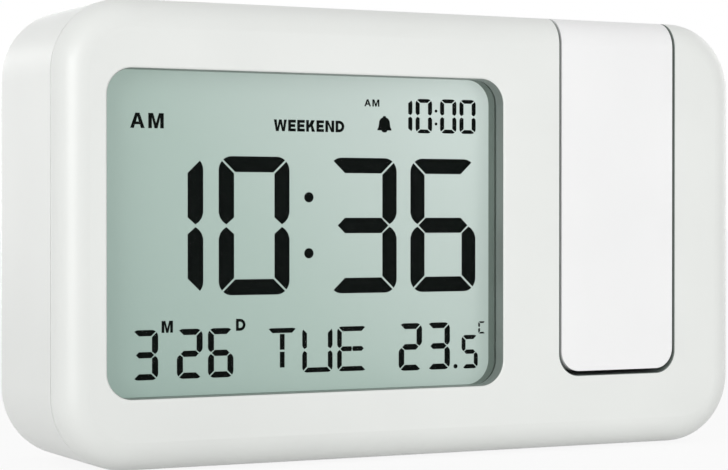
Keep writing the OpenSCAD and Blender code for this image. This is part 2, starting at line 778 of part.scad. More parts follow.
module hinge_bushes() {
    color("ivory") placed() for (s = [-1, 1]) difference() {
        axle(arm_x + (s > 0 ? bay_w / 2 : -bay_w / 2 - bush_l), pivot_d, pivot_z, bush_r, bush_l);
        axle(arm_x - body_w, pivot_d, pivot_z, hinge_r + run, 2 * body_w);
    }
}

// ---- arm ----

module arm_side_profile(inset) {
    // depth to the right, height up; the top end is rounded about the pivot behind, and follows
    // the fillet of the case in front
    r = arm_t / 2 - inset;
    f = front_fillet - inset;
    translate([inset, arm_bottom + inset]) square([arm_t - 2 * inset, pivot_z - arm_bottom - inset]);
    translate([pivot_d, pivot_z]) circle(r);
    translate([front_fillet, pivot_z - 1]) square([pivot_d - front_fillet, body_h - inset - pivot_z + 1]);
    translate([inset, pivot_z - 1]) square([pivot_d - inset, body_h - front_fillet - pivot_z + 1]);
    translate([front_fillet, body_h - front_fillet]) circle(f);
}

module arm_form(inset) {
    w = arm_w - 2 * inset;
    intersection() {
        across(arm_x - w / 2) linear_extrude(w) arm_side_profile(inset);
        upright(arm_x, (arm_bottom + inset + body_h + 20) / 2, -1)
            slab(w, body_h + 20 - arm_bottom - inset, arm_corner_r - inset / 2, arm_t + 2);
    }
}

module arm_end_hole() {
    translate([arm_x, optic_d, arm_bottom - 1]) cylinder(r = barrel_r + 0.6, h = arm_wall + 2);
}

module arm_front_shell() {
    color("white") placed() difference() {
        union() {
            difference() {
                arm_form(0);
                arm_form(arm_wall);
            }
            // posts behind the optical housing and screw bosses
            for (x = [-6, 6], z = [housing_z + 2, housing_top - 3])
                post(arm_x + x, z, arm_wall - 0.5, 1.5, housing_front - arm_wall + 0.45);
            for (x = [-1, 1], z = arm_screw_z) post(arm_x + x * arm_screw_x, z, arm_wall - 0.5, 2, pivot_d - arm_wall + 0.5);
        }
        block([0, pivot_d, 0], [body_w, body_d, body_h + 1]);
        axle(arm_x - body_w, pivot_d, pivot_z, hinge_r + 0.02, 2 * body_w);
        arm_end_hole();
        for (x = [-1, 1], z = arm_screw_z) post(arm_x + x * arm_screw_x, z, pivot_d - 5, 0.92, 6);
    }
}

module arm_rear_shell() {
    color("white") placed() difference() {
        union() {
            difference() {
                arm_form(0);
                arm_form(arm_wall);
            }
            for (x = [-1, 1], z = arm_screw_z)
                post(arm_x + x * arm_screw_x, z, pivot_d + 0.05, 2, arm_t - pivot_d - 0.6);
        }
        block([0, -1, 0], [body_w, pivot_d + 0.05, body_h + 1]);
        axle(arm_x - body_w, pivot_d, pivot_z, hinge_r + 0.02, 2 * body_w);
        arm_end_hole();
        for (x = [-1, 1], z = arm_screw_z) {
            post(arm_x + x * arm_screw_x, z, 0, 1, body_d);
            post(arm_x + x * arm_screw_x, z, arm_t - 2, 1.9, 4);
        }
        // window that the focus ring reaches through
        block([arm_x - ring_window, arm_t - arm_wall - 1, ring_z - 1],
              [arm_x + ring_window, arm_t + 1, ring_z + ring_h + 1]);
    }
}

module arm_screws() {
    color("silver") placed() for (x = [-1, 1], z = arm_screw_z) {
        post(arm_x + x * arm_screw_x, z, pivot_d - 4.6, 0.9, arm_t - 2 - pivot_d + 4.6);
        post(arm_x + x * arm_screw_x, z, arm_t - 2, 1.7, 1.3);
    }
}

tube_left = arm_x - bay_w / 2 - bush_l - 0.6;
tube_right = arm_x + bay_w / 2 + bush_l + 2.6;

module hinge_tube() {
    color("silver") placed() difference() {
        axle(tube_left, pivot_d, pivot_z, hinge_r, tube_right - tube_left);
        axle(tube_left - 1, pivot_d, pivot_z, hinge_bore_r, tube_right - tube_left + 2);
        // groove of the retaining clip
        difference() {
            axle(tube_right - 1.6, pivot_d, pivot_z, hinge_r + 1, 0.8);
            axle(tube_right - 1.7, pivot_d, pivot_z, hinge_r - 0.4, 1);
        }
        // mouth of the lead inside the arm
        block([arm_x - 3, pivot_d - 1.4, pivot_z - 4], [arm_x + 3, pivot_d + 1.4, pivot_z]);
    }
}

module friction_washer() {
    x = arm_x + bay_w / 2 + bush_l + 0.2;
    color("silver") placed() difference() {
        axle(x, pivot_d, pivot_z, 4.2, 0.8);
        axle(x - 1, pivot_d, pivot_z, hinge_r + 0.02, 3);
    }
}

module retaining_clip() {
    color("dimgray") placed() difference() {
        axle(tube_right - 1.55, pivot_d, pivot_z, 3.8, 0.7);
        axle(tube_right - 2, pivot_d, pivot_z, hinge_r - 0.38, 2);
        block([tube_right - 3, pivot_d - 1, pivot_z - 6], [tube_right, pivot_d + 1, pivot_z]);
    }
}

module optical_housing() {
    color([0.12, 0.12, 0.12]) placed() difference() {
        block([arm_x - housing_half, housing_front, housing_z], [arm_x + housing_half, housing_back, housing_top]);
        translate([arm_x, optic_d, 0]) {
            translate([0, 0, housing_z - 1]) cylinder(r = barrel_r + run, h = bore_top - housing_z + 1);
            translate([0, 0, bore_top - 1]) cylinder(r = light_r, h = housing_top - bore_top + 2);
            translate([0, 0, condenser_z - 0.05]) cylinder(r = 4.8, h = 3.6);
            translate([0, 0, ring_z - ring_slot]) cylinder(r = ring_r + 0.35, h = ring_h + 2 * ring_slot);
        }
        // pocket of the projection display, let in from behind
        block([arm_x - 6.6, optic_d - 5.6, plcd_z - fit], [arm_x + 6.6, housing_back + 1, plcd_z + 1.8 + fit]);
        // clearance round the screw bosses
        for (x = [-1, 1], z = arm_screw_z) post(arm_x + x * arm_screw_x, z, 0, 2.3, body_d);
    }
}

module projector_lcd() {
    color([0.3, 0.35, 0.4]) placed() block([arm_x - 6.5, optic_d - 5.5, plcd_z], [arm_x + 6.5, housing_back, plcd_z + 1.8]);
}

module condenser_lens() {
    color([0.85, 0.95, 1, 0.5]) placed() translate([arm_x, optic_d, condenser_z]) {
        cylinder(r = 4.7, h = 1.2);
        intersection() {
            cylinder(r = 4.2, h = 3.2);
            translate([0, 0, -2.2]) sphere(5.2);
        }
    }
}

module projector_led() {
    color([0.9, 0.3, 0.2]) placed() translate([arm_x, optic_d, led_z]) {
        sphere(led_r);
        cylinder(r = led_r, h = housing_top - led_z);
        translate([0, 0, housing_top - led_z - 1]) cylinder(r = led_r + 0.4, h = 1);
    }
}

module led_board() {
    color("darkgreen") placed()
        block([arm_x - 6.5, 3.4, housing_top], [arm_x + 6.5, housing_back, housing_top + board_t]);
}

module arm_flex() {
    // printed film that joins the small display to the LED board
    color("goldenrod") placed()
        block([arm_x - 6, housing_back + 0.02, plcd_z - 1], [arm_x + 6, arm_t - arm_wall - 0.02, housing_top + board_t]);
}

module arm_lead() {
    z = housing_top + board_t;
    color("black") placed() translate([arm_x, pivot_d, z]) {
        cylinder(r = lead_r, h = pivot_z - z - hinge_r + 0.2);
        translate([-1.6, -1.6, 0]) cube([3.2, 3.2, 1.6]);
    }
}

module focus_ring() {
    teeth = 24;
    color([0.15, 0.15, 0.15]) placed() translate([arm_x, optic_d, ring_z]) difference() {
        cylinder(r = ring_r, h = ring_h);
        translate([0, 0, -1]) cylinder(r = barrel_r + run, h = ring_h + 2);
        for (i = [0:teeth - 1]) rotate(360 / teeth * i) translate([ring_r + 0.25, 0, -1]) cylinder(r = 0.55, h = ring_h + 2);
    }
}

module lens_barrel() {
    color([0.1, 0.1, 0.1]) placed() translate([arm_x, optic_d, barrel_z]) difference() {
        cylinder(r = barrel_r, h = barrel_l);
        translate([0, 0, -1]) cylinder(r = barrel_r - 1.2, h = barrel_l + 2);
        translate([0, 0, -1]) cylinder(r = barrel_r - 0.8, h = 1.8);
    }
}

module projection_lens() {
    r = barrel_r - 1.25;
    color([0.85, 0.95, 1, 0.5]) placed() translate([arm_x, optic_d, barrel_z + 2]) {
        cylinder(r = r, h = 1.6);
        intersection() {
            translate([0, 0, -1.1]) cylinder(r = r, h = 1.2);
            translate([0, 0, 7.4]) sphere(8.4);
        }
    }
}

// ---- assembly ----

front_bezel();
rear_case();
arm_bay();
window_lens();
lcd_frame();
lcd_panel();
light_guide();
backlight_strip();
contact_strips();
main_board();
clock_chip();
crystal();
buzzer();
temperature_sensor();
key_board();
key_switches();
slide_switch_body();
snooze_board();
snooze_switch();
power_board();
power_inlet();
flat_cable();
case_lead();
backup_cells();
contact_springs();
contact_plates();
case_screws();
board_screws();
bay_screws();
key_board_screws();
rubber_feet();
hinge_bushes();
snooze_bar();
key_1();
key_2();
key_3();
key_4();
key_5();
slide_knob();
battery_door();
arm_front_shell();
arm_rear_shell();
arm_screws();
hinge_tube();
friction_washer();
retaining_clip();
optical_housing();
projector_led();
led_board();
condenser_lens();
projector_lcd();
arm_flex();
arm_lead();
focus_ring();
lens_barrel();
projection_lens();
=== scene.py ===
# %% [markdown]
# # A projection alarm clock, dressed in Blender
# The solids of the clock arrive ready made and jointed.  This lesson gives them their
# finishes and adds what the solids leave out: the characters of the display, the cross
# recesses of the screws, filleted keys with their marks, and grip ribs.

import json
import math

import bmesh
import bpy
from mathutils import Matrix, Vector

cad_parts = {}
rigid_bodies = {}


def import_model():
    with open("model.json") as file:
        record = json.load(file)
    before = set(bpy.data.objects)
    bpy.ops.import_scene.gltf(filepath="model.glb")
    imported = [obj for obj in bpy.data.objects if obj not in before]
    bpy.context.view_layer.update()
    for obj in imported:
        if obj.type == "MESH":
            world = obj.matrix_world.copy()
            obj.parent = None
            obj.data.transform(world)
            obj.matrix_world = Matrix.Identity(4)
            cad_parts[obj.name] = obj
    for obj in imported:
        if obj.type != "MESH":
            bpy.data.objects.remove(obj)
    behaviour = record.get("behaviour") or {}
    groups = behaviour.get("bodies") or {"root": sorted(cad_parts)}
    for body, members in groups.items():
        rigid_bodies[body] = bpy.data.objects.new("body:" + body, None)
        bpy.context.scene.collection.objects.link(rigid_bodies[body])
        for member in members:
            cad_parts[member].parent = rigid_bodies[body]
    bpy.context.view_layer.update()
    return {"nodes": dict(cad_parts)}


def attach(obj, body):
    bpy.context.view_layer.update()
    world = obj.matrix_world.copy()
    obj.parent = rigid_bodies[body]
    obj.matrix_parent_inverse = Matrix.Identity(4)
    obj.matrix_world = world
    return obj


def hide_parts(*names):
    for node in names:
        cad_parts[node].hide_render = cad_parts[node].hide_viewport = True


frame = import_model()

# %% [markdown]
# ## The camera
# The picture was taken from the left, level with the middle of the clock, with a long lens.
# The place and the turn below come from fitting the edges of the window, the arm's gap and
# the outline, so the view is stated outright instead of being aimed at an empty.

# %% Camera at the picture's viewpoint
CAMERA_PLACE = Vector((-0.196985, -0.382953, 0.046191))
CAMERA_YAW, CAMERA_PITCH = math.radians(26.766), math.radians(-0.487)
camera_data = bpy.data.cameras.new("camera")
camera_data.sensor_width = 36.0
camera_data.lens = 107.79
camera_data.clip_start = 0.01
camera = bpy.data.objects.new("camera", camera_data)
camera.location = CAMERA_PLACE
camera.rotation_euler = (math.radians(90) + CAMERA_PITCH, 0, -CAMERA_YAW)
bpy.context.scene.collection.objects.link(camera)
bpy.context.scene.camera = camera
print("camera lens", camera_data.lens, "mm")

# %% [markdown]
# ## Where things are
# The clock was drawn in millimetres: x from the middle, z up from the underside of the
# case, and d the depth behind the front face.  One small function turns such a place into
# the frame's metres, so every number below can be held against a ruler on the real thing.

# %% Places in the clock's own millimetres
MM = 0.001
DEPTH_MIDDLE, FEET_PROUD = 18.25, 0.4
ARM_X = 43.55       # middle of the projector arm


def at(x, z, d):
    return Vector((x, d - DEPTH_MIDDLE, z + FEET_PROUD)) * MM


def new_piece(name, mesh, body, finish=None):
    piece = bpy.data.objects.new(name, mesh)
    bpy.context.scene.collection.objects.link(piece)
    if finish is not None:
        mesh.materials.clear()
        mesh.materials.append(finish)
    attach(piece, body)
    return piece


# %% [markdown]
# ## Shader arithmetic
# A moulded surface needs many small sums on noise values.  Writing them as node wiring
# hides the idea, so a wrapped socket here takes part in ordinary Python expressions, and
# each operator adds the Math node that it stands for.

# %% A socket that does sums
class Value:
    def __init__(self, maker, socket):
        self.maker, self.socket = maker, socket

    def _math(self, operation, first, second=None):
        values = {0: first} if second is None else {0: first, 1: second}
        return self.maker.node("ShaderNodeMath", {"operation": operation}, values)

    def __add__(self, other): return self._math("ADD", self, other)
    def __radd__(self, other): return self._math("ADD", other, self)
    def __sub__(self, other): return self._math("SUBTRACT", self, other)
    def __rsub__(self, other): return self._math("SUBTRACT", other, self)
    def __mul__(self, other): return self._math("MULTIPLY", self, other)
    def __rmul__(self, other): return self._math("MULTIPLY", other, self)
    def __truediv__(self, other): return self._math("DIVIDE", self, other)
    def __gt__(self, other): return self._math("GREATER_THAN", self, other)
    def __lt__(self, other): return self._math("LESS_THAN", self, other)
    def at_least(self, least): return self._math("MAXIMUM", self, least)
    def clip(self): return self._math("MINIMUM", self._math("MAXIMUM", self, 0.0), 1.0)
    def sine(self): return self._math("SINE", self)
    def size(self): return self._math("ABSOLUTE", self)


class Finish:
    """A material in the making: node() adds any node and returns its first output."""

    def __init__(self, name):
        self.material = bpy.data.materials.new(name)
        self.material.use_nodes = True
        self.tree = self.material.node_tree
        self.tree.nodes.clear()
        self.surface = self.tree.nodes.new("ShaderNodeBsdfPrincipled")
        out = self.tree.nodes.new("ShaderNodeOutputMaterial")
        self.tree.links.new(self.surface.outputs[0], out.inputs["Surface"])
        self.out = out

    def node(self, kind, settings=None, sockets=None, output=0):
        made = self.tree.nodes.new(kind)
        for key, value in (settings or {}).items():
            if key == "stops":
                ramp = made.color_ramp
                while len(ramp.elements) < len(value):
                    ramp.elements.new(0.5)
                for element, (place, colour) in zip(ramp.elements, value):
                    element.position = place
                    element.color = colour if len(colour) == 4 else (*colour, 1)
            else:
                setattr(made, key, value)
        for key, value in (sockets or {}).items():
            self.feed(made.inputs[key], value)
        return Value(self, made.outputs[output])

    def feed(self, socket, value):
        if isinstance(value, Value):
            self.tree.links.new(value.socket, socket)
        elif isinstance(value, tuple) and len(value) == 3 and socket.type == "RGBA":
            socket.default_value = (*value, 1)
        else:
            socket.default_value = value

    def set(self, **sockets):
        for key, value in sockets.items():
            self.feed(self.surface.inputs[key.replace("_", " ").title()], value)
        return self

    def place(self):
        return self.node("ShaderNodeTexCoord", output="Object")

    def axes(self):
        made = self.tree.nodes.new("ShaderNodeSeparateXYZ")
        self.tree.links.new(self.place().socket, made.inputs[0])
        return [Value(self, made.outputs[i]) for i in range(3)]

    def noise(self, per_mm, detail=3.0, rough=0.5, where=None):
        return self.node("ShaderNodeTexNoise", None, {
            "Vector": where or self.place(), "Scale": per_mm / MM,
            "Detail": detail, "Roughness": rough})

    def mix(self, amount, low, high):
        made = self.tree.nodes.new("ShaderNodeMix")
        made.data_type = "RGBA"
        for which, value in ((0, amount), (6, low), (7, high)):
            self.feed(made.inputs[which], value)
        return Value(self, made.outputs[2])

    def bump(self, height, strength, distance_mm, after=None):
        sockets = {"Height": height, "Strength": strength, "Distance": distance_mm * MM}
        if after is not None:
            sockets["Normal"] = after
        return self.node("ShaderNodeBump", None, sockets)

    def soft_edges(self, radius_mm):
        return self.node("ShaderNodeBevel", {"samples": 6}, {"Radius": radius_mm * MM})


def linear(red, green, blue):
    """Turns an 8-bit screen colour into the linear value that a socket takes."""
    def one(v):
        v /= 255
        return v / 12.92 if v <= 0.04045 else ((v + 0.055) / 1.055) ** 2.4
    return one(red), one(green), one(blue)


print("shader helpers ready")

# %% [markdown]
# ## Moulded plastic
# The case is satin white ABS from a spark-eroded mould: nearly smooth, with a very fine
# grain that shows only as a soft highlight, a faint flow variation in its colour and a
# trace of handling gloss.  Every plastic of the clock is a variation of that recipe, so
# one function makes them all.  The walls of the window's opening and of the slot round the
# arm lie deep in shade, so the bezel is grey there as painted shade, which a mask on x and z
# decides.

# %% One recipe for every moulded plastic


GRAIN_MM, GRAIN_STRENGTH, GRAIN_DEPTH_MM = 0.35, 0.10, 0.02
FLOW_SHADE = 0.956      # how much darker the plastic is where it flowed last
EDGE_MM = 0.12          # the rounding that a mould leaves on every edge


def moulded(name, colour, rough, painted_shade=None):
    f = Finish(name)
    flow = f.noise(0.03, 2.0)
    fine = f.noise(1 / GRAIN_MM, 3.0, 0.55)
    handled = f.noise(0.12, 4.0, 0.6)
    tint = f.mix((flow - 0.3) * 2.2, tuple(c * FLOW_SHADE for c in colour), colour)
    # where the given mask is 1, the colour turns to the grey of painted shade
    if painted_shade:
        tint = f.mix(painted_shade(f), tint, WALL_SHADE_GREY)
    f.set(base_color=tint)
    f.feed(f.surface.inputs["Roughness"], (rough - 0.03) + handled * 0.07)
    f.feed(f.surface.inputs["Normal"],
           f.bump(fine, GRAIN_STRENGTH, GRAIN_DEPTH_MM, f.soft_edges(EDGE_MM)))
    return f.material


# painted shade: the grey for the shaded walls of the window's opening and of the arm's slot
WALL_SHADE_GREY = linear(128, 137, 132)
# centre, half sizes and corner radius in mm of the window and of the arm's slot
OPENINGS = [((-23.3, 42.7 + FEET_PROUD), (40.5, 29.5), 4.8),
            ((ARM_X, 67.4), (13.6, 52.6), 4.45)]


def painted_shade_walls(f):
    """1 where the bezel takes painted shade: the walls of the window's opening and of the slot
    round the arm.
    """
    x, _, z = f.axes()
    found = 0.0
    for (centre_x, centre_z), (half_x, half_z), corner in OPENINGS:
        out_x = ((x / MM - centre_x).size() - (half_x - corner)).at_least(0)
        out_z = ((z / MM - centre_z).size() - (half_z - corner)).at_least(0)
        found = found + ((out_x * out_x + out_z * out_z) < (corner + 0.1) ** 2)
    return found.clip()


case_white = moulded("case_white_abs", linear(234, 236, 233), 0.34)
arm_white = moulded("arm_white_abs", linear(245, 245, 245), 0.32)
# the bezel takes painted shade on the walls of its window and of the arm's slot
bezel_white = moulded("bezel_white_abs", linear(234, 236, 233), 0.34, painted_shade=painted_shade_walls)
key_white = moulded("key_white_abs", linear(236, 237, 236), 0.36)
bay_grey = moulded("bay_grey_abs", linear(132, 136, 135), 0.5)
# painted shade: the display frame is grey for the shade deep in the recess round the display
frame_shade_grey = moulded("display_frame_shade_grey", linear(116, 128, 121), 0.45)
guide_white = moulded("diffuser_white", linear(224, 230, 228), 0.3)
cover_black = moulded("black_plastic", linear(30, 31, 33), 0.42)
print("moulded plastics ready")

# %% [markdown]
# ## Clear window, display glass and rubber
# The window is a thin clear sheet: it only shows at a glancing angle, so its opacity follows
# Fresnel.  The display behind it is a grey-green reflector with the fine sparkle of a brushed
# foil; it glows as its backlight would, which also lifts the shade under the window's rim, and
# a painted reflection makes it brighter towards the upper right.  Rubber and metals are simple
# recipes with their own grain.

# %% Clear sheet, display and the other stuffs


def clear_sheet(name, colour, opacity):
    f = Finish(name)
    edge = f.node("ShaderNodeFresnel", None, {"IOR": 1.3})
    scuff = f.noise(0.4, 4.0)
    f.set(base_color=colour)
    f.feed(f.surface.inputs["Roughness"], 0.03 + scuff * 0.05)
    f.feed(f.surface.inputs["Alpha"], (edge * 0.35 + opacity).clip())
    return f.material


PANEL_LEFT, PANEL_FOOT, PANEL_SIZE = -63, 14, (80, 58)     # mm, as seen in the window


def display_glass(name):
    f = Finish(name)
    x, _, z = f.axes()
    across = (x / MM - PANEL_LEFT) / PANEL_SIZE[0]
    up = (z / MM - PANEL_FOOT) / PANEL_SIZE[1]
    # painted reflection: the colour grows brighter towards the upper right
    glow = (across * 0.62 + up * 0.38).clip()
    sheen = f.node("ShaderNodeValToRGB", {"stops": [
        (0.10, linear(163, 186, 177)), (0.42, linear(176, 197, 188)),
        (0.76, linear(199, 214, 208)), (1.0, linear(218, 231, 226))]}, {"Fac": glow})
    foil = f.noise(3.0, 2.0, 0.6)
    lit = f.mix((foil - 0.42) * 0.16, sheen, linear(214, 222, 216))
    f.set(base_color=f.mix(0.55, lit, (0.0, 0.0, 0.0)))
    # the glow stands for the backlight and also lifts the shade under the window's rim
    f.feed(f.surface.inputs["Emission Color"], lit)
    f.feed(f.surface.inputs["Emission Strength"], 0.55)
    f.feed(f.surface.inputs["Roughness"], 0.30 + foil * 0.1)
    f.feed(f.surface.inputs["Specular IOR Level"], 0.25)
    f.feed(f.surface.inputs["Normal"], f.bump(foil, 0.05, 0.01))
    return f.material


def metal(name, colour, rough):
    f = Finish(name)
    stretched = f.node("ShaderNodeMapping", None, {"Vector": f.place(), "Scale": (1.0, 1.0, 14.0)})
    rubbed = f.noise(0.7, 4.0, 0.6, stretched)
    stain = f.noise(0.25, 3.0)
    f.set(base_color=f.mix(stain, tuple(c * 0.82 for c in colour), colour))
    f.feed(f.surface.inputs["Metallic"], 1.0)
    f.feed(f.surface.inputs["Roughness"], rough + rubbed * 0.16)
    f.feed(f.surface.inputs["Normal"], f.bump(rubbed, 0.25, 0.01, f.soft_edges(0.06)))
    return f.material


def rubber(name, colour, rough=0.75):
    f = Finish(name)
    dust = f.noise(1.3, 5.0, 0.65)
    f.set(base_color=f.mix(dust * 0.5, colour, tuple(min(1, c * 1.7 + 0.01) for c in colour)))
    f.feed(f.surface.inputs["Roughness"], rough + dust * 0.12)
    f.feed(f.surface.inputs["Normal"], f.bump(f.noise(4.0), 0.25, 0.03, f.soft_edges(0.15)))
    return f.material


WEAVE_MM = 0.5      # pitch of the glass cloth in a circuit board


def board(name, colour):
    f = Finish(name)
    x, _, z = f.axes()
    turns = 2 * math.pi / (WEAVE_MM * MM)
    weave = (x * turns).sine() * (z * turns).sine()
    cloud = f.noise(0.5, 3.0)
    f.set(base_color=f.mix(cloud * 0.5 + weave * 0.12, tuple(c * 0.7 for c in colour), colour))
    f.feed(f.surface.inputs["Roughness"], 0.32 + cloud * 0.1)
    f.feed(f.surface.inputs["Normal"], f.bump(weave, 0.06, 0.01, f.soft_edges(0.08)))
    return f.material


CELL_MIDDLE, CELL_BAND = -23.7, 24.0      # mm


def wrapped_cell(name):
    """The printed sleeve of a plain cell: a dark band between copper-coloured ends."""
    f = Finish(name)
    from_middle = (f.axes()[0] / MM - CELL_MIDDLE).size()
    grain = f.noise(1.5, 3.0)
    f.set(base_color=f.mix(from_middle > CELL_BAND / 2, linear(66, 70, 76), linear(176, 122, 72)))
    f.feed(f.surface.inputs["Metallic"], 0.6)
    f.feed(f.surface.inputs["Roughness"], 0.28 + grain * 0.12)
    f.feed(f.surface.inputs["Normal"], f.bump(grain, 0.05, 0.01, f.soft_edges(0.15)))
    return f.material


window_clear = clear_sheet("window_clear", linear(40, 44, 43), 0.0)
lens_clear = clear_sheet("lens_clear", linear(206, 222, 226), 0.25)
display_face = display_glass("display_glass")
nickel = metal("nickel_plate", linear(196, 197, 192), 0.24)
spring_steel = metal("spring_steel", linear(188, 186, 178), 0.2)
foot_rubber = rubber("foot_rubber", linear(176, 178, 178))
strip_rubber = rubber("contact_rubber", linear(226, 198, 204))
cable_black = rubber("cable_black", linear(34, 35, 37), 0.5)
cable_grey = rubber("cable_grey", linear(150, 152, 156), 0.5)
board_green = board("circuit_board_green", linear(38, 92, 62))
board_white = board("circuit_board_white", linear(222, 226, 222))
nylon = moulded("bush_nylon", linear(232, 228, 214), 0.4)
film_amber = moulded("film_amber", linear(188, 120, 46), 0.3)
led_resin = clear_sheet("led_resin", linear(250, 236, 190), 0.55)
image_glass = moulded("image_glass", linear(62, 66, 78), 0.1)
cell_sleeve = wrapped_cell("cell_sleeve")
print("other finishes ready")

# %% [markdown]
# ## Dressing the solids
# Each solid arrives with a bare stand-in material.  The list pairs every one with its
# finish; a solid that is missing from it would stop the script here, so none stays bare.

# %% Give each solid its finish
FINISH_OF = {
    bezel_white: "front_bezel",
    case_white: "rear_case snooze_bar battery_door",
    arm_white: "arm_front_shell arm_rear_shell",
    key_white: "key_1 key_2 key_3 key_4 key_5 slide_knob",
    bay_grey: "arm_bay",
    window_clear: "window_lens",
    lens_clear: "condenser_lens projection_lens",
    frame_shade_grey: "lcd_frame",
    display_face: "lcd_panel",
    guide_white: "light_guide",
    board_white: "backlight_strip",
    strip_rubber: "contact_strips",
    board_green: "main_board key_board snooze_board power_board led_board",
    cover_black: "clock_chip buzzer slide_switch_body key_switches snooze_switch power_inlet "
                 "optical_housing focus_ring lens_barrel temperature_sensor",
    nickel: "crystal contact_plates case_screws board_screws bay_screws key_board_screws "
            "arm_screws hinge_tube retaining_clip",
    spring_steel: "contact_springs",
    cable_grey: "flat_cable",
    cable_black: "case_lead arm_lead",
    cell_sleeve: "backup_cells",
    foot_rubber: "rubber_feet",
    nylon: "hinge_bushes friction_washer",
    led_resin: "projector_led",
    image_glass: "projector_lcd",
    film_amber: "arm_flex",
}
dressed = set()
for finish, names in FINISH_OF.items():
    for name in names.split():
        solid = frame["nodes"][name]
        for material_slot in solid.material_slots:
            material_slot.material = finish
        dressed.add(name)
bare = set(frame["nodes"]) - dressed
assert not bare, bare
print("dressed solids:", len(dressed))

# %% [markdown]
# ## The characters of the display
# A liquid-crystal display shows its characters with flat electrodes.  The large digits are
# seven bars with mitred ends, a hairline apart, whose outer corners follow one rounded
# outline with a waist at the middle.  Since that is a rule, each bar is worked out from the
# digit's width, height and stroke, and the same rule serves every size of digit.

# %% The seven bars of a digit
BARS_OF = {"0": "abcdef", "1": "bc", "2": "abdeg", "3": "abcdg", "5": "acdfg", "6": "acdefg",
           "T": "ahi", "U": "bcdef", "E": "adefjk", "C": "adef"}


def arc_points(centre, radius, start, stop, steps=7):
    turns = (math.radians(start + (stop - start) * i / (steps - 1)) for i in range(steps))
    return [(centre[0] + radius * math.cos(a), centre[1] + radius * math.sin(a)) for a in turns]


def digit_bars(w, h, tx, tz, r, gap):
    """Outlines of the bars of one digit w wide and h high, its lower left corner at 0, 0."""
    mid, reach, half_gap = h / 2, gap * 0.7, math.degrees(gap / 2 / r)

    def over(points):
        return [(w - x, z) for x, z in reversed(points)]

    def under(points):
        return [(x, h - z) for x, z in reversed(points)]

    rising = [(tx + reach, h - tz)] + arc_points((r, h - r), r, 135 - half_gap, 90)
    top = rising + over(rising)
    waist = [(tx * 0.5, mid + reach), (tx * 0.28, mid + reach + tz * 0.16),
             (tx * 0.1, mid + reach + tz * 0.4), (0, mid + reach + tz * 0.72)]
    upper_left = ([(tx, h - tz - reach), (tx, mid + tz / 2 + reach * 0.3)] + waist
                  + arc_points((r, h - r), r, 180, 135 + half_gap))
    tip = [(tx + reach, mid - tz / 2), (tx / 2 + reach, mid), (tx + reach, mid + tz / 2)]
    post = [(w / 2 - tx / 2, h - tz - reach), (w / 2 - tx / 2, mid + reach),
            (w / 2 + tx / 2, mid + reach), (w / 2 + tx / 2, h - tz - reach)]
    half = tip + [(w / 2 - reach * 0.8, mid + tz / 2), (w / 2 - reach * 0.2, mid),
                  (w / 2 - reach * 0.8, mid - tz / 2)]
    return {"a": top, "b": over(upper_left), "c": over(under(upper_left)), "d": under(top),
            "e": under(upper_left), "f": upper_left, "g": tip + over(tip), "h": post,
            "i": under(post), "j": half, "k": over(half)}


def film(shape, points, front, back):
    """Adds a thin prism whose outline is given in x and z, between two depths."""
    ring = [[shape.verts.new(at(x, z, d)) for x, z in points] for d in (front, back)]
    shape.faces.new(ring[0])
    shape.faces.new(ring[1][::-1])
    for i in range(len(points)):
        j = (i + 1) % len(points)
        shape.faces.new((ring[0][j], ring[0][i], ring[1][i], ring[1][j]))


def finished_mesh(name, shape):
    bmesh.ops.recalc_face_normals(shape, faces=shape.faces)
    mesh = bpy.data.meshes.new(name)
    shape.to_mesh(mesh)
    shape.free()
    return mesh


LCD_FRONT = 6.2
INK_DEPTHS = (LCD_FRONT - 0.05, LCD_FRONT)
# A size is width, height, upright and level stroke, corner radius and gap between bars.
BIG = (14.35, 25.72, 3.06, 2.92, 2.62, 0.36)
DATE = (5.07, 9.12, 1.18, 1.12, 1.25, 0.26)
WORD = (6.3, 8.5, 0.95, 0.92, 1.0, 0.28)
ALARM = (3.60, 6.62, 0.88, 0.74, 0.98, 0.22)
# A row is its characters, left edge and foot of the first, size and step to the next.
ROWS = [
    ("1", -57.36, 31.22, BIG, 0), ("0", -39.91, 31.22, BIG, 0),
    ("3", -17.26, 31.22, BIG, 0), ("6", 0.11, 31.22, BIG, 0),
    ("1", -3.09, 61.85, ALARM, 0), ("0", 1.23, 61.85, ALARM, 0), ("00", 6.61, 61.9, ALARM, 4.31),
    ("3", -56.95, 16.05, DATE, 0), ("26", -48.21, 16.08, DATE, 6.15),
    ("TUE", -30.2, 16.42, WORD, 7.3), ("2", -2.44, 16.1, DATE, 0), ("3", 3.72, 16.12, DATE, 0),
    ("5", 11.41, 16.11, (3.61, 6.55, 0.86, 0.84, 0.95, 0.22), 0),
    ("C", 15.14, 22.85, (1.6, 2.4, 0.38, 0.34, 0.42, 0.14), 0),
]
ink = bmesh.new()
for characters, left, foot, sizes, pitch in ROWS:
    bars = digit_bars(*sizes)
    for place, character in enumerate(characters):
        for letter in BARS_OF[character]:
            film(ink, [(left + place * pitch + x, foot + z) for x, z in bars[letter]], *INK_DEPTHS)
DOTS = [(-21.53, 49.40, 0.96), (-21.53, 38.87, 0.96), (5.71, 66.2, 0.29),
        (5.71, 63.7, 0.29), (10.05, 16.62, 0.44)]
for x, z, radius in DOTS:
    film(ink, arc_points((x, z), radius, 0, 345, 24), *INK_DEPTHS)
print("bars and dots of the display:", len(ink.faces), "faces so far")

# %% [markdown]
# The fixed marks, such as the words for morning and weekend and the alarm's bell, are one
# electrode each.  Their letters are plain bold capitals, so each is an outline in a box one
# high, drawn from its stroke; A and D, which have a hole, are made of two pieces.

# %% Words and the bell


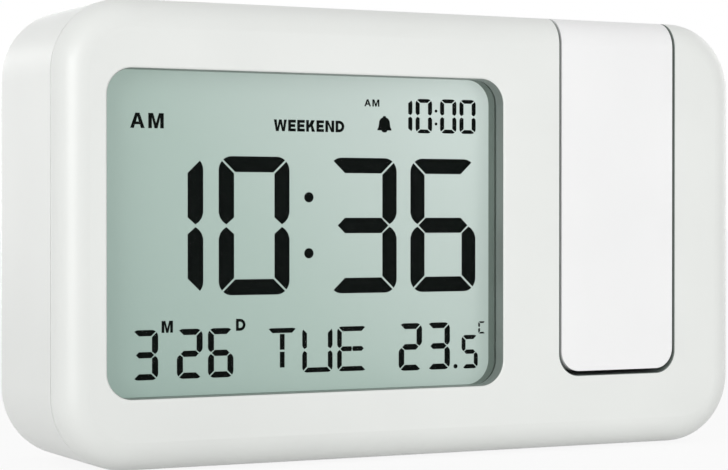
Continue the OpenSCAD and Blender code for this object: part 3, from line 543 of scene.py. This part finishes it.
def capital(letter, w, s):
    """Outlines of a bold capital one high, w wide, with strokes s wide."""
    m = w / 2
    if letter == "A":
        left = [(0, 0), (m - s * 0.58, 1), (m, 1), (m, 0.78), (m - s * 0.42, 0.42),
                (m, 0.42), (m, 0.24), (s * 1.35, 0.24), (s * 1.06, 0)]
        return [left, [(w - x, z) for x, z in reversed(left)]]
    if letter == "D":
        outer = arc_points((w - 0.5, 0.5), 0.5, -90, 90, 11)
        inner = arc_points((w - 0.5, 0.5), 0.5 - s, 90, -90, 11)
        outer = [(s, 0)] + [(x, z) for x, z in outer if x > s] + [(s, 1)]
        inner = [(s, 1 - s)] + [(x, z) for x, z in inner if x > s] + [(s, s)]
        return [[(0, 0), (s, 0), (s, 1), (0, 1)], outer + inner]
    outlines = {
        "E": [(0, 0), (w, 0), (w, s), (s, s), (s, 0.5 - s / 2), (w * 0.92, 0.5 - s / 2),
              (w * 0.92, 0.5 + s / 2), (s, 0.5 + s / 2), (s, 1 - s), (w, 1 - s), (w, 1), (0, 1)],
        "M": [(0, 0), (s, 0), (s, 0.74), (m - s * 0.42, 0), (m + s * 0.42, 0), (w - s, 0.74),
              (w - s, 0), (w, 0), (w, 1), (w - s * 1.35, 1), (m, 0.34), (s * 1.35, 1), (0, 1)],
        "N": [(0, 0), (s, 0), (s, 0.68), (w - s * 1.1, 0), (w, 0), (w, 1), (w - s, 1),
              (w - s, 0.32), (s * 1.1, 1), (0, 1)],
        "K": [(0, 0), (s, 0), (s, 0.32), (s * 1.75, 0.43), (w - s * 1.25, 0), (w, 0),
              (s * 2.45, 0.57), (w * 0.97, 1), (w - s * 1.4, 1), (s, 0.56), (s, 1), (0, 1)],
        "W": [(w * 0.27 - s * 0.55, 0), (w * 0.27 + s * 0.45, 0), (m, 0.66),
              (w * 0.73 - s * 0.45, 0), (w * 0.73 + s * 0.55, 0), (w, 1), (w - s * 1.02, 1),
              (w * 0.73 - s * 0.02, 0.30), (m + s * 0.5, 1), (m - s * 0.5, 1),
              (w * 0.27 + s * 0.02, 0.30), (s * 1.02, 1), (0, 1)]}
    return [outlines[letter]]


WIDTH_OF = {"A": 0.86, "D": 0.78, "E": 0.66, "K": 0.78, "M": 0.92, "N": 0.78, "W": 1.12}


def add_word(shape, text, left, right, foot, head, stroke, spacing=0.16):
    tall = head - foot
    natural = sum(WIDTH_OF[c] for c in text) + spacing * (len(text) - 1)
    stretch = (right - left) / (natural * tall)
    x = left
    for c in text:
        for outline in capital(c, WIDTH_OF[c] * stretch, stroke):
            film(shape, [(x + px * tall, foot + pz * tall) for px, pz in outline], *INK_DEPTHS)
        x += (WIDTH_OF[c] + spacing) * stretch * tall


add_word(ink, "AM", -57.25, -50.75, 61.82, 64.59, 0.245, 0.22)
add_word(ink, "WEEKEND", -28.74, -14.10, 61.74, 63.92, 0.25, 0.13)
add_word(ink, "AM", -9.83, -6.63, 66.78, 68.13, 0.22, 0.2)
add_word(ink, "M", -51.19, -48.99, 24.58, 26.77, 0.24)
add_word(ink, "D", -36.45, -34.54, 24.61, 26.83, 0.24)
half_bell = [(0.24, 3.12), (0.34, 2.88), (0.82, 2.62), (1.1, 2.15), (1.2, 1.5), (1.28, 1.0),
             (1.5, 0.6), (1.5, 0.38), (0.62, 0.38), (0.5, 0.12), (0.2, 0.0)]
bell = half_bell + [(-x, z) for x, z in reversed(half_bell)]
film(ink, [(-5.53 + x, 61.88 + z) for x, z in bell], *INK_DEPTHS)

lcd_ink = Finish("display_ink")
lcd_ink.set(base_color=lcd_ink.mix(lcd_ink.noise(2.0), (0.0035, 0.005, 0.0045),
                                   (0.006, 0.008, 0.007)))
lcd_ink.feed(lcd_ink.surface.inputs["Roughness"], 0.8)
lcd_ink.feed(lcd_ink.surface.inputs["Specular IOR Level"], 0.02)
display_characters = new_piece("display_characters", finished_mesh("display_characters", ink),
                               "case", lcd_ink.material)
print("display characters:", len(display_characters.data.polygons), "faces")

# %% [markdown]
# ## Screws with a cross recess
# The solids have plain screw heads.  A real self-tapping screw has a slightly domed head
# with a cross recess, and the same screw repeats, so one Geometry Nodes tree makes it from
# its sizes and sets it on every seat.  The recess is cut with a Mesh Boolean inside the
# tree, which leaves a few open edges on each head.  Modelling one head by hand and copying
# it would give a cleaner mesh, but its sizes would then be buried in it.

# %% The screw tree


class Tree:
    """A Geometry Nodes tree whose named inputs are sizes in metres, or counts."""

    def __init__(self, name, inputs):
        self.tree = bpy.data.node_groups.new(name, "GeometryNodeTree")
        face = self.tree.interface
        face.new_socket("Geometry", in_out="INPUT", socket_type="NodeSocketGeometry")
        face.new_socket("Geometry", in_out="OUTPUT", socket_type="NodeSocketGeometry")
        self.ids = {}
        for label, value in inputs.items():
            kind = "NodeSocketInt" if isinstance(value, int) else "NodeSocketFloat"
            socket = face.new_socket(label, in_out="INPUT", socket_type=kind)
            socket.default_value = value
            self.ids[label] = socket.identifier
        self.start = self.tree.nodes.new("NodeGroupInput")
        self.end = self.tree.nodes.new("NodeGroupOutput")

    def size(self, label):
        return self.start.outputs[label]

    def add(self, kind, settings=None, output=0, **sockets):
        made = self.tree.nodes.new(kind)
        for key, value in (settings or {}).items():
            setattr(made, key, value)
        for key, value in sockets.items():
            # _0 and _1 stand for numbered inputs, other keys for named ones
            key = int(key[1:]) if key[0] == "_" else key.replace("_", " ")
            self.plug(made.inputs[key], value)
        return made.outputs[output]

    def plug(self, socket, value):
        if isinstance(value, list):
            for one in value:
                self.tree.links.new(one, socket)
        elif isinstance(value, bpy.types.NodeSocket):
            self.tree.links.new(value, socket)
        else:
            socket.default_value = value

    def sum(self, operation, first, second):
        return self.add("ShaderNodeMath", {"operation": operation}, _0=first, _1=second)

    def vector(self, x, y, z):
        return self.add("ShaderNodeCombineXYZ", X=x, Y=y, Z=z)

    def moved(self, geometry, offset):
        return self.add("GeometryNodeTransform", Geometry=geometry, Translation=offset)

    def set_on_points(self, instance):
        return self.add("GeometryNodeInstanceOnPoints", Points=self.start.outputs["Geometry"],
                        Instance=instance)

    def finish_with(self, geometry, material):
        real = self.add("GeometryNodeRealizeInstances", Geometry=geometry)
        real = self.add("GeometryNodeSetMaterial", Geometry=real, Material=material)
        self.plug(self.end.inputs[0], real)


def grown(name, seed_mesh, tree, sizes, body):
    """Runs a tree over a seed mesh and keeps the result as one plain mesh."""
    holder = bpy.data.objects.new(name, seed_mesh)
    bpy.context.scene.collection.objects.link(holder)
    modifier = holder.modifiers.new("grow", "NODES")
    modifier.node_group = tree.tree
    for label, value in sizes.items():
        modifier[tree.ids[label]] = value
    depsgraph = bpy.context.evaluated_depsgraph_get()
    result = bpy.data.meshes.new_from_object(holder.evaluated_get(depsgraph))
    result.name = name
    holder.modifiers.remove(modifier)
    bpy.data.objects.remove(holder)
    return new_piece(name, result, body)


def points_mesh(name, points):
    mesh = bpy.data.meshes.new(name)
    mesh.from_pydata([tuple(p) for p in points], [], [])
    return mesh


screw = Tree("cross_screw", {"Head Radius": 0.0017, "Head Height": 0.0013, "Dome": 0.0002,
                             "Recess Width": 0.0004, "Recess Depth": 0.0006,
                             "Shank Radius": 0.0009, "Shank Length": 0.010})
flat_head = screw.sum("SUBTRACT", screw.size("Head Height"), screw.size("Dome"))
head = screw.add("GeometryNodeMeshCylinder", {"fill_type": "TRIANGLE_FAN"},
                 Vertices=40, Side_Segments=1, Fill_Segments=4,
                 Radius=screw.size("Head Radius"), Depth=flat_head)
head = screw.moved(head, screw.vector(0.0, 0.0, screw.sum("MULTIPLY", flat_head, 0.5)))
place = screw.add("GeometryNodeInputPosition")
apart = screw.add("ShaderNodeSeparateXYZ", Vector=place)
height = apart.node.outputs["Z"]
flat = screw.vector(apart.node.outputs["X"], apart.node.outputs["Y"], 0.0)
out = screw.add("ShaderNodeVectorMath", {"operation": "LENGTH"}, output=1, _0=flat)
share = screw.sum("DIVIDE", out, screw.size("Head Radius"))
fall = screw.sum("SUBTRACT", 1.0, screw.sum("MULTIPLY", share, share))
crown = screw.sum("MULTIPLY", fall, screw.size("Dome"))
nearly_up = screw.sum("MULTIPLY", flat_head, 0.9)
on_top = screw.add("FunctionNodeCompare", {"data_type": "FLOAT", "operation": "GREATER_THAN"},
                   A=height, B=nearly_up)
head = screw.add("GeometryNodeSetPosition", Geometry=head, Selection=on_top,
                 Offset=screw.vector(0.0, 0.0, crown))
reach = screw.sum("MULTIPLY", screw.size("Head Radius"), 1.25)
width = screw.size("Recess Width")
twice_deep = screw.sum("MULTIPLY", screw.size("Recess Depth"), 2.0)
cutters = []
for sides in ((reach, width), (width, reach)):
    bar = screw.add("GeometryNodeMeshCube", Size=screw.vector(*sides, twice_deep))
    cutters.append(screw.moved(bar, screw.vector(0.0, 0.0, screw.size("Head Height"))))
head = screw.add("GeometryNodeMeshBoolean", {"operation": "DIFFERENCE"}, _0=head, _1=cutters)
shank = screw.add("GeometryNodeMeshCylinder", Vertices=24, Radius=screw.size("Shank Radius"),
                  Depth=screw.size("Shank Length"))
half_down = screw.sum("MULTIPLY", screw.size("Shank Length"), -0.5)
shank = screw.moved(shank, screw.vector(0.0, 0.0, half_down))
one = screw.add("GeometryNodeJoinGeometry", Geometry=[head, shank])
one = screw.add("GeometryNodeTransform", Geometry=one, Rotation=(-math.pi / 2, 0, 0))
screw.finish_with(screw.set_on_points(one), nickel)
ARM_SEAT, CASE_SEAT = 14.0, 20.0        # depth of the seats under the heads
arm_seats = [at(ARM_X + side * 9.2, z, ARM_SEAT) for side in (-1, 1) for z in (19.0, 62.8)]
arm_cross_screws = grown("arm_cross_screws", points_mesh("arm_seats", arm_seats), screw, {},
                         "arm")
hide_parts("arm_screws")
case_seats = [at(x, z, CASE_SEAT) for x, z in ((-60, 6.5), (-60, 78.5), (65, 10), (65, 66))]
case_cross_screws = grown("case_cross_screws", points_mesh("case_seats", case_seats), screw,
                          {"Head Radius": 0.0027, "Head Height": 0.0018, "Recess Width": 0.0006,
                           "Recess Depth": 0.0010, "Shank Radius": 0.0013, "Shank Length": 0.0120},
                          "case")
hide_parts("case_screws")
for made in (arm_cross_screws, case_cross_screws):
    print(made.name, len(made.data.polygons), "faces")

# %% [markdown]
# ## Keys and the snooze bar
# A pressed key is never a bare prism: its edges are filleted so the mould lets go of it, and
# its top is dished for a fingertip.  Both kinds of key are lofts of rounded rectangles, so
# one list of levels (how far along, how wide, how high, corner radius) describes each.

# %% Lofted keys


def rounded_loop(half_w, half_h, radius):
    radius = min(radius, half_w - 1e-4, half_h - 1e-4)
    corners = ((1, 1, 0), (-1, 1, 90), (-1, -1, 180), (1, -1, 270))
    loop = []
    for side, end, start in corners:
        middle = (side * (half_w - radius), end * (half_h - radius))
        loop += arc_points(middle, radius, start, start + 90)
    return loop


def loft(shape, levels, spot):
    """Skins a stack of rounded rectangles; spot turns one level's a, b and along into a place."""
    rings = [[shape.verts.new(spot(a, b, along)) for a, b in rounded_loop(*outline)]
             for along, *outline in levels]
    for below, above in zip(rings, rings[1:]):
        for i in range(len(below)):
            j = (i + 1) % len(below)
            shape.faces.new((below[i], below[j], above[j], above[i]))
    shape.faces.new(rings[0][::-1])
    shape.faces.new(rings[-1])


DISH = ((0.93, 0.0), (0.8, 0.35), (0.6, 0.7), (0.35, 0.93), (0.12, 1.0))    # share out, down


def filleted_top(along, half_w, half_h, radius, fillet, dish):
    """Levels of a filleted rim and a dished top that ends at the given height."""
    turns = [math.radians(15 * i) for i in range(7)]
    drawn_in = [fillet * (1 - math.cos(a)) for a in turns]
    rim = [(along - fillet * (1 - math.sin(a)), half_w - cut, half_h - cut, radius - cut)
           for a, cut in zip(turns, drawn_in)]
    inner = [(along - dish * depth, (half_w - fillet) * share, (half_h - fillet) * share,
              radius * share) for share, depth in DISH]
    return rim + inner


SHARP = math.radians(35)


def smooth_by_angle(mesh):
    shape = bmesh.new()
    shape.from_mesh(mesh)
    for face in shape.faces:
        face.smooth = True
    for edge in shape.edges:
        edge.smooth = len(edge.link_faces) == 2 and edge.calc_face_angle(0) < SHARP
    shape.to_mesh(mesh)
    shape.free()


def key_levels(low, flange_t, top, half_w, half_h, radius, proud, flange_radius, fillet, dish):
    """A flange that stays inside the case, a straight body and a filleted, dished top."""
    edge = low + flange_t
    flange = (half_w + proud[0], half_h + proud[1], flange_radius)
    body = (half_w, half_h, radius)
    return [(low, *flange), (edge, *flange), (edge, *body)] + filleted_top(top, *body, fillet, dish)


KEY_X, KEY_Z = (-48.7, -37.2, -25.7, -14.2, -2.7), 59.6
for number, key_x in enumerate(KEY_X, 1):
    shape = bmesh.new()
    loft(shape, key_levels(32.2, 0.8, 36.3, 4.0, 2.3, 2.29, (1.0, 1.0), 3.29, 0.45, 0.16),
         lambda a, b, along: at(key_x + a, KEY_Z + b, along))
    mesh = finished_mesh(f"rear_key_cap_{number}", shape)
    smooth_by_angle(mesh)
    cap = new_piece(f"rear_key_cap_{number}", mesh, f"rear_key_{number}", key_white)
    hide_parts(f"key_{number}")

SNOOZE_X, SNOOZE_D, SNOOZE_LOW, SNOOZE_TOP = -17.3, 21.0, 81.1, 85.6
PLUNGER_HALF, PLUNGER_TALL, PLUNGER_DEPTHS = 1.5, 1.8, (17, 25)
shape = bmesh.new()
loft(shape, key_levels(SNOOZE_LOW, 1.2, SNOOZE_TOP, 35.0, 7.0, 2.8, (1.0, 0.5), 2.8, 0.6, 0.35),
     lambda a, b, along: at(SNOOZE_X + a, along, SNOOZE_D + b))
film(shape, [(SNOOZE_X + side * PLUNGER_HALF, SNOOZE_LOW - down)
             for side, down in ((-1, PLUNGER_TALL), (1, PLUNGER_TALL), (1, 0), (-1, 0))],
     *PLUNGER_DEPTHS)
mesh = finished_mesh("snooze_key", shape)
smooth_by_angle(mesh)
snooze_key = new_piece("snooze_key", mesh, "snooze", case_white)
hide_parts("snooze_bar")
print("lofted keys:", len(KEY_X) + 1)

# %% [markdown]
# Small raised marks tell the fingers which rear key is which: a dial for the time, a bell
# for the alarm, a beam for the projector, then less and more.  They are moulded in grey and
# sit in the dish of each key, just below the level of the case's back.

# %% Marks on the rear keys
key_ink = moulded("key_mark_grey", linear(120, 124, 126), 0.5)
MARK_DEPTHS = (36.08, 36.28)


def ring_outline(radius, start, stop, width):
    outer = arc_points((0, 0), radius, start, stop, 17)
    inner = arc_points((0, 0), radius - width, stop, start, 17)
    return outer + inner


def bar_outline(half_w, half_h, x=0.0, z=0.0):
    return [(x - half_w, z - half_h), (x + half_w, z - half_h),
            (x + half_w, z + half_h), (x - half_w, z + half_h)]


MARKS = [
    [ring_outline(1.05, -180, 0, 0.22), ring_outline(1.05, 0, 180, 0.22),
     bar_outline(0.1, 0.3, 0, 0.3), bar_outline(0.24, 0.1, 0.2, -0.1)],
    [[(x * 0.62, (z - 1.5) * 0.62) for x, z in bell]],
    [[(-1.2, -0.16), (1.1, -0.95), (1.1, 0.95), (-1.2, 0.16)]],
    [bar_outline(0.9, 0.16)],
    [bar_outline(0.9, 0.16), bar_outline(0.16, 0.37, 0, 0.53), bar_outline(0.16, 0.37, 0, -0.53)],
]
for number, (key_x, outlines) in enumerate(zip(KEY_X, MARKS), 1):
    shape = bmesh.new()
    for outline in outlines:
        # seen from behind, x runs to the left
        film(shape, [(key_x - x, KEY_Z + z) for x, z in outline], *MARK_DEPTHS)
    new_piece(f"rear_key_mark_{number}", finished_mesh(f"rear_key_mark_{number}", shape),
              f"rear_key_{number}", key_ink)
print("key marks:", len(MARKS))

# %% [markdown]
# ## Grip ribs of the slide switch
# A thumb moves the slide switch, so its cap has ribs across the direction of travel.  The
# ribs repeat at one pitch, which is a job for a Mesh Line with a small filleted bar on each
# of its points.

# %% Ribs on the slide knob
RIB_COUNT, RIB_PITCH = 5, 0.00068
ribs = Tree("grip_ribs", {"Count": RIB_COUNT, "Pitch": RIB_PITCH, "Rib Width": 0.00032,
                          "Rib Length": 0.0026, "Rib Height": 0.0003})
line = ribs.add("GeometryNodeMeshLine", Count=ribs.size("Count"),
                Offset=ribs.vector(ribs.size("Pitch"), 0.0, 0.0))
bar = ribs.add("GeometryNodeMeshCylinder", Vertices=12, Depth=ribs.size("Rib Length"),
               Radius=ribs.sum("MULTIPLY", ribs.size("Rib Width"), 0.5))
both_sides = ribs.sum("MULTIPLY", ribs.size("Rib Height"), 2.0)
stretch = ribs.vector(1.0, ribs.sum("DIVIDE", both_sides, ribs.size("Rib Width")), 1.0)
bar = ribs.add("GeometryNodeTransform", Geometry=bar, Scale=stretch)
row = ribs.add("GeometryNodeInstanceOnPoints", Points=line, Instance=bar)
ribs.finish_with(ribs.set_on_points(row), key_white)
KNOB_X, KNOB_Z, KNOB_TOP = -25.7, 49.1, 36.1
first_rib = at(KNOB_X, KNOB_Z, KNOB_TOP) - Vector(((RIB_COUNT // 2) * RIB_PITCH, 0, 0))
slide_knob_ribs = grown("slide_knob_ribs", points_mesh("rib_start", [first_rib]), ribs, {},
                        "slider")
print("ribs:", len(slide_knob_ribs.data.polygons), "faces")

# %% [markdown]
# ## Floor, backdrop and light
# The clock stands on a plain pale floor in front of white.  Only what the camera sees of the
# floor and the world is lifted to white, as are their reflections; the light that reaches
# the clock stays at the level at which a colour renders as it is written.  A broad lamp on
# the left gives the front fillet its sheen, and a small one close by, low on the right,
# makes the front a little brighter towards that corner, as in the picture.

# %% Floor and world
FLOOR_COLOUR, FLOOR_HALF, LIFTED, WORLD_LIGHT = (0.75, 0.75, 0.75), 6.0, 0.9, 0.56
SHOWN_TO = ("Is Camera Ray", "Is Glossy Ray", "Is Transmission Ray")
floor_shape = bmesh.new()
bmesh.ops.create_grid(floor_shape, x_segments=1, y_segments=1, size=FLOOR_HALF)
floor = bpy.data.objects.new("floor", finished_mesh("floor", floor_shape))
bpy.context.scene.collection.objects.link(floor)
pale = Finish("pale_floor")
pale.set(base_color=FLOOR_COLOUR)
pale.feed(pale.surface.inputs["Roughness"], 0.9)
pale.feed(pale.surface.inputs["Specular IOR Level"], 0.0)
glow = pale.tree.nodes.new("ShaderNodeEmission")
blend = pale.tree.nodes.new("ShaderNodeMixShader")
shown = [pale.node("ShaderNodeLightPath", output=ray) for ray in SHOWN_TO]
pale.feed(blend.inputs[0], (shown[0] + shown[1] + shown[2]).clip() * LIFTED)
pale.tree.links.new(pale.surface.outputs[0], blend.inputs[1])
pale.tree.links.new(glow.outputs[0], blend.inputs[2])
pale.tree.links.new(blend.outputs[0], pale.out.inputs["Surface"])
floor.data.materials.append(pale.material)

world = bpy.data.worlds.new("studio")
bpy.context.scene.world = world
world.use_nodes = True
links, nodes = world.node_tree.links, world.node_tree.nodes
background = nodes["Background"]
path = nodes.new("ShaderNodeLightPath")
lift = nodes.new("ShaderNodeMapRange")
total = path.outputs[SHOWN_TO[0]]
for ray in SHOWN_TO[1:]:
    either = nodes.new("ShaderNodeMath")
    either.operation = "MAXIMUM"
    links.new(total, either.inputs[0])
    links.new(path.outputs[ray], either.inputs[1])
    total = either.outputs[0]
links.new(total, lift.inputs["Value"])
lift.inputs["To Min"].default_value = WORLD_LIGHT
lift.inputs["To Max"].default_value = 1.0
links.new(lift.outputs["Result"], background.inputs["Strength"])
background.inputs["Color"].default_value = (1, 1, 1, 1)

# name: place, width and height, power, the point it faces; metres and watts
LAMPS = {
    "soft_front": ((0.08, -0.24, 0.03), (0.12, 0.12), 0.145, (0.045, 0, 0.03)),
    "soft_left": ((-0.72, -0.58, 0.20), (0.5, 0.5), 3.85, (0, 0, 0.045)),
    "soft_right": ((0.85, 0.20, 0.30), (0.6, 0.6), 1.0, (0, 0, 0.045)),
    "soft_back": ((0.10, 0.95, 0.15), (0.7, 0.3), 2.2, (0, 0, 0.045)),
}
for name, (spot, size, power, aim) in LAMPS.items():
    light = bpy.data.lights.new(name, "AREA")
    light.shape, light.size, light.size_y, light.energy = "RECTANGLE", *size, power
    holder = bpy.data.objects.new(name, light)
    holder.location = spot
    holder.rotation_euler = (Vector(aim) - Vector(spot)).to_track_quat("-Z", "Y").to_euler()
    holder.visible_camera = False
    bpy.context.scene.collection.objects.link(holder)
bpy.context.scene.view_settings.view_transform = "Standard"
print("stage lit")
